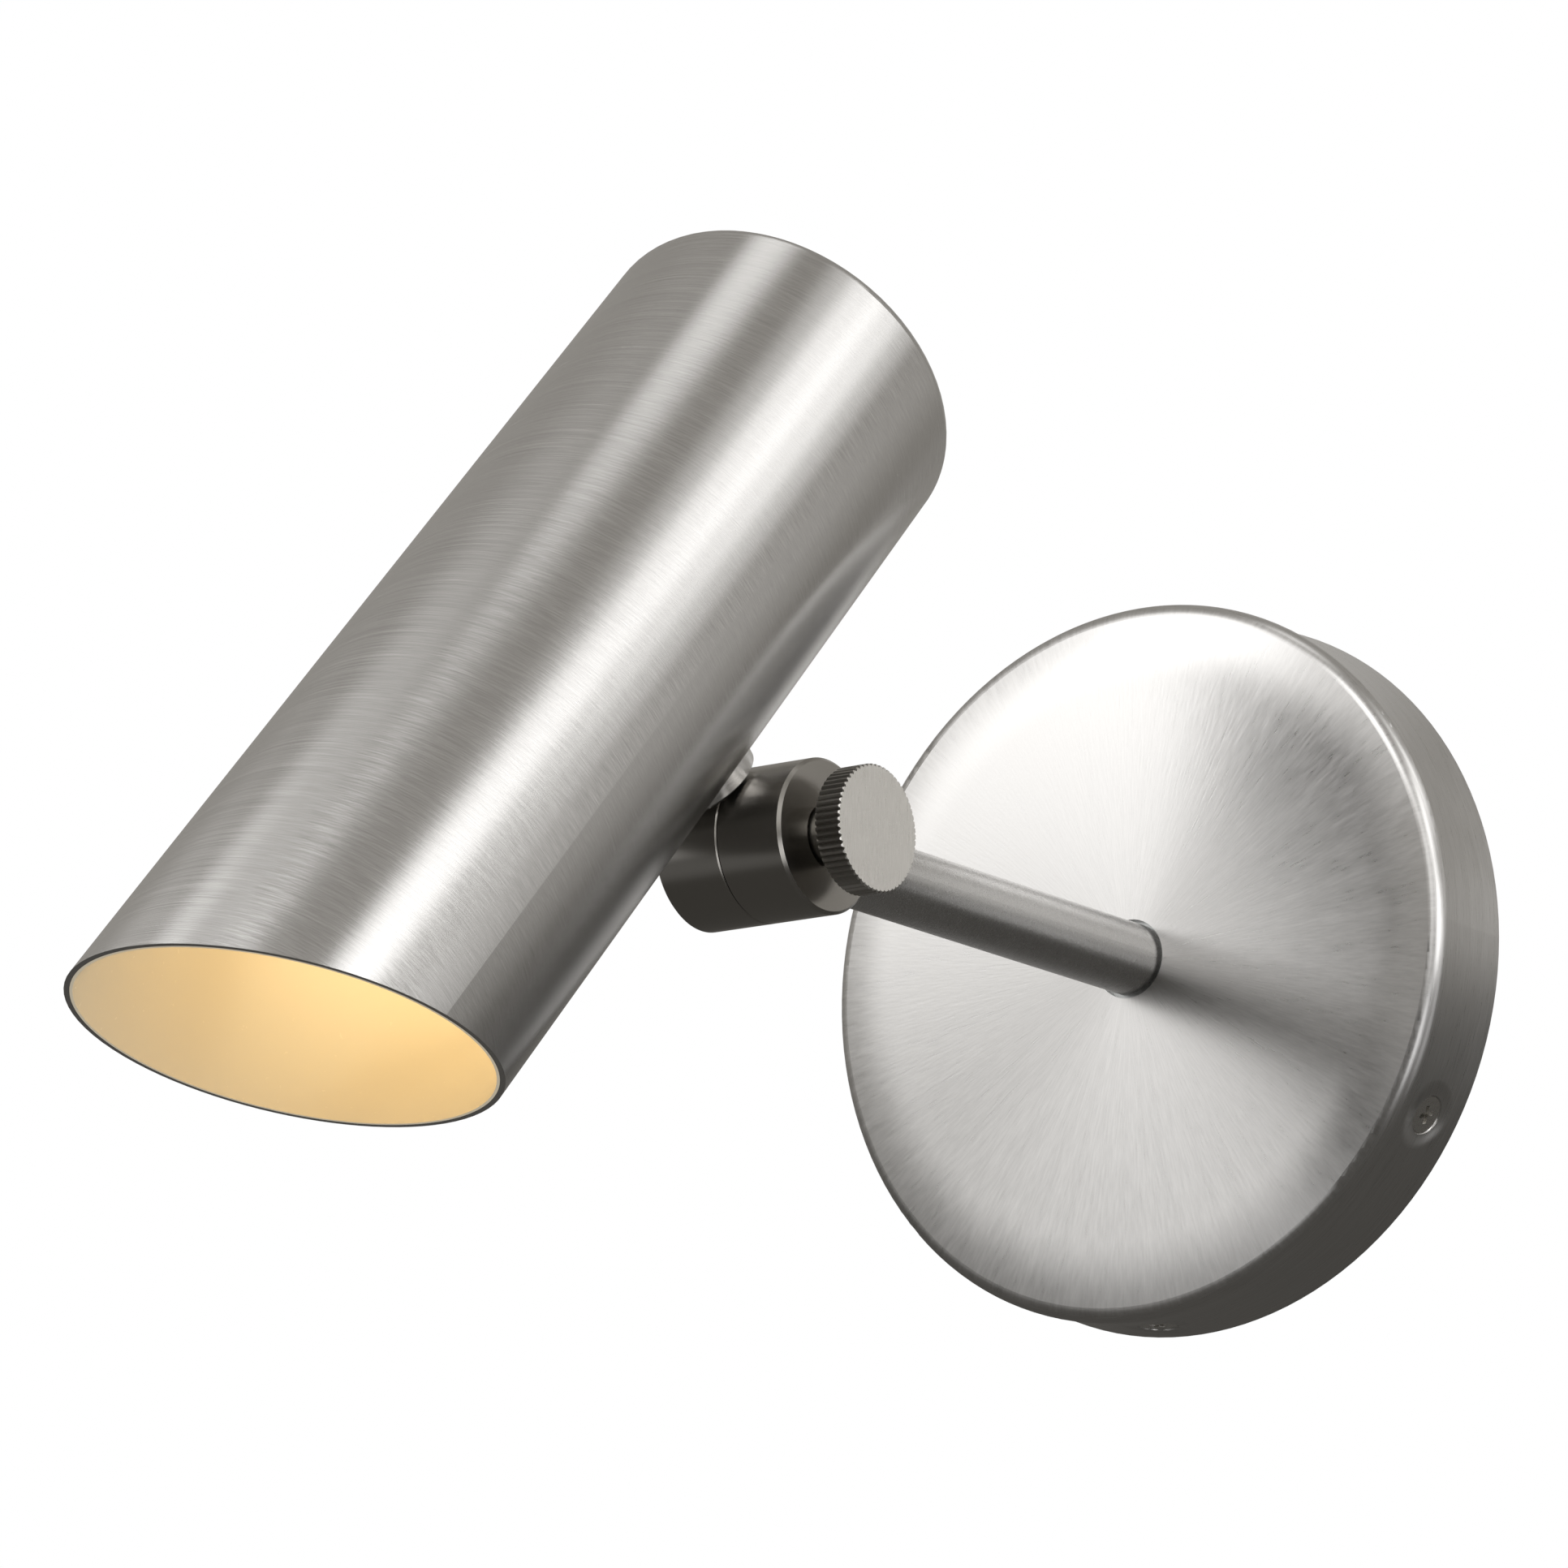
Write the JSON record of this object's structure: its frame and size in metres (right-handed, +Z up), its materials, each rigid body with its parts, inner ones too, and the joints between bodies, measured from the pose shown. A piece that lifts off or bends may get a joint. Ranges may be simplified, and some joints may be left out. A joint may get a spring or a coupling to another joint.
{
  "type": "tube wall light",
  "caption": "Wall light with a tubular shade on a tilting knuckle, a straight arm and a round canopy that screws to a wall bracket.",
  "frame": {"origin": "centre of the canopy's rim plane on the wall", "axes": "+Z up, -Y out of the wall into the room along the arm, +X to the right for a viewer facing the wall"},
  "size_m": [0.12, 0.2478, 0.1585],
  "materials": {
    "brushed_nickel": "satin brushed nickel plate",
    "dark_nickel": "satin turned nickel plate",
    "zinc_steel": "zinc plated steel",
    "screw_steel": "nickel plated steel",
    "ground_green": "green coated steel",
    "bushing_plastic": "moulded nylon",
    "holder_ceramic": "glazed ceramic",
    "lamp_aluminium": "satin aluminium",
    "lamp_glass": "clear pressed glass"
  },
  "bodies": {
    "base": {"canopy": "brushed_nickel", "backing_plate": "zinc_steel", "mounting_bracket": "zinc_steel", "canopy_screws": "screw_steel", "ground_screw": "ground_green", "arm": "brushed_nickel", "arm_washer": "zinc_steel", "arm_nut": "zinc_steel", "arm_bushing": "bushing_plastic", "knuckle_arm_half": "dark_nickel", "friction_washer": "bushing_plastic", "spring_washer": "screw_steel"},
    "thumbscrew": {"thumbscrew": "dark_nickel"},
    "head": {"knuckle_head_half": "dark_nickel", "tilt_collar": "brushed_nickel", "stem": "zinc_steel", "tube_shade": "brushed_nickel", "lampholder_strap": "zinc_steel", "stem_washer": "zinc_steel", "stem_nut": "zinc_steel", "stem_bushing": "bushing_plastic", "lampholder": "holder_ceramic", "lampholder_screws": "screw_steel", "lamp_base": "holder_ceramic", "lamp_pins": "screw_steel", "lamp_reflector": "lamp_aluminium", "lamp_lens": "lamp_glass"}
  },
  "joints": [
    {"name": "head_tilt", "type": "hinge", "parent": "base", "child": "head", "pos_m": [0, -0.1084, 0.0016], "axis": [1, 0, 0], "range_deg": [-50, 95]},
    {"name": "thumbscrew_turn", "type": "hinge", "parent": "base", "child": "thumbscrew", "pos_m": [0, -0.1084, 0.0016], "axis": [1, 0, 0], "continuous": true}
  ]
}
